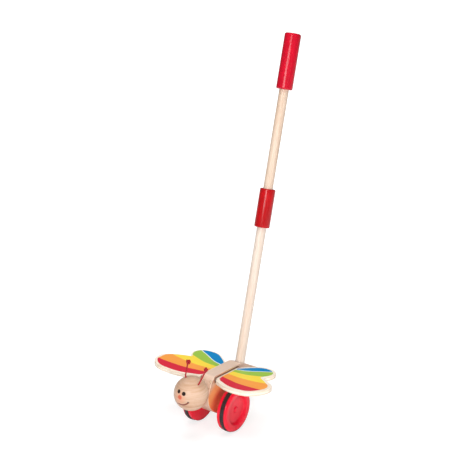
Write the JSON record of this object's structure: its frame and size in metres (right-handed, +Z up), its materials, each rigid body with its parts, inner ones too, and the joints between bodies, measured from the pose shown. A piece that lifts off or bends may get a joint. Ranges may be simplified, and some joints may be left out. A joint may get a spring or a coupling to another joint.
{
  "type": "toddler push toy",
  "caption": "Wooden push-along butterfly with hinged, rainbow-painted wings, dished wheels with rubber rings, a ball head with cord feelers, and a long jointed push stick with a turned grip.",
  "frame": {"origin": "On the floor, under the middle of the whole toy's bounding box, as it stands on its wheels", "axes": "+Z up; the butterfly faces -Y, and the stick leans back towards +Y; +X is the butterfly's own left, along the axle"},
  "size_m": [0.1944, 0.289, 0.5461],
  "materials": {
    "natural_beech": "clear satin lacquer over pale, straight-grained beech",
    "painted_plywood": "birch plywood with printed colour bands under satin lacquer",
    "red_lacquered_wood": "glossy red lacquer over turned beech",
    "black_rubber": "matt black rubber ring",
    "red_cord": "waxed, twisted red cord",
    "steel": "bright drawn steel"
  },
  "bodies": {
    "chassis": {"body": "natural_beech", "head": "natural_beech", "neck_dowel": "natural_beech", "antenna_left": "red_cord", "antenna_right": "red_cord", "hinge_rod_left": "steel", "hinge_rod_right": "steel", "rod_plug_left": "natural_beech", "rod_plug_right": "natural_beech", "stick_lower": "natural_beech", "stick_upper": "natural_beech", "coupling": "red_lacquered_wood", "dowel_screw": "steel", "grip": "red_lacquered_wood", "axle_spacer_left": "natural_beech", "axle_spacer_right": "natural_beech"},
    "wheelset": {"axle": "steel", "wheel_left": "red_lacquered_wood", "wheel_right": "red_lacquered_wood", "tyre_left": "black_rubber", "tyre_right": "black_rubber", "lift_pin_left_front": "natural_beech", "lift_pin_left_rear": "natural_beech", "lift_pin_right_front": "natural_beech", "lift_pin_right_rear": "natural_beech"},
    "left_wing": {"wing_left": "painted_plywood", "lifter_left": "natural_beech"},
    "right_wing": {"wing_right": "painted_plywood", "lifter_right": "natural_beech"}
  },
  "joints": [
    {"name": "wheels_roll", "type": "hinge", "parent": "chassis", "child": "wheelset", "pos_m": [0.00178, -0.05938, 0.033], "axis": [1, 0, 0], "continuous": true},
    {"name": "left_wing_flap", "type": "hinge", "parent": "chassis", "child": "left_wing", "pos_m": [0.00888, -0.05938, 0.07721], "axis": [0, -0.9968, 0.0801], "range_deg": [0, 20]},
    {"name": "right_wing_flap", "type": "hinge", "parent": "chassis", "child": "right_wing", "pos_m": [-0.00532, -0.05938, 0.07721], "axis": [0, 0.9968, -0.0801], "range_deg": [0, 20]}
  ]
}
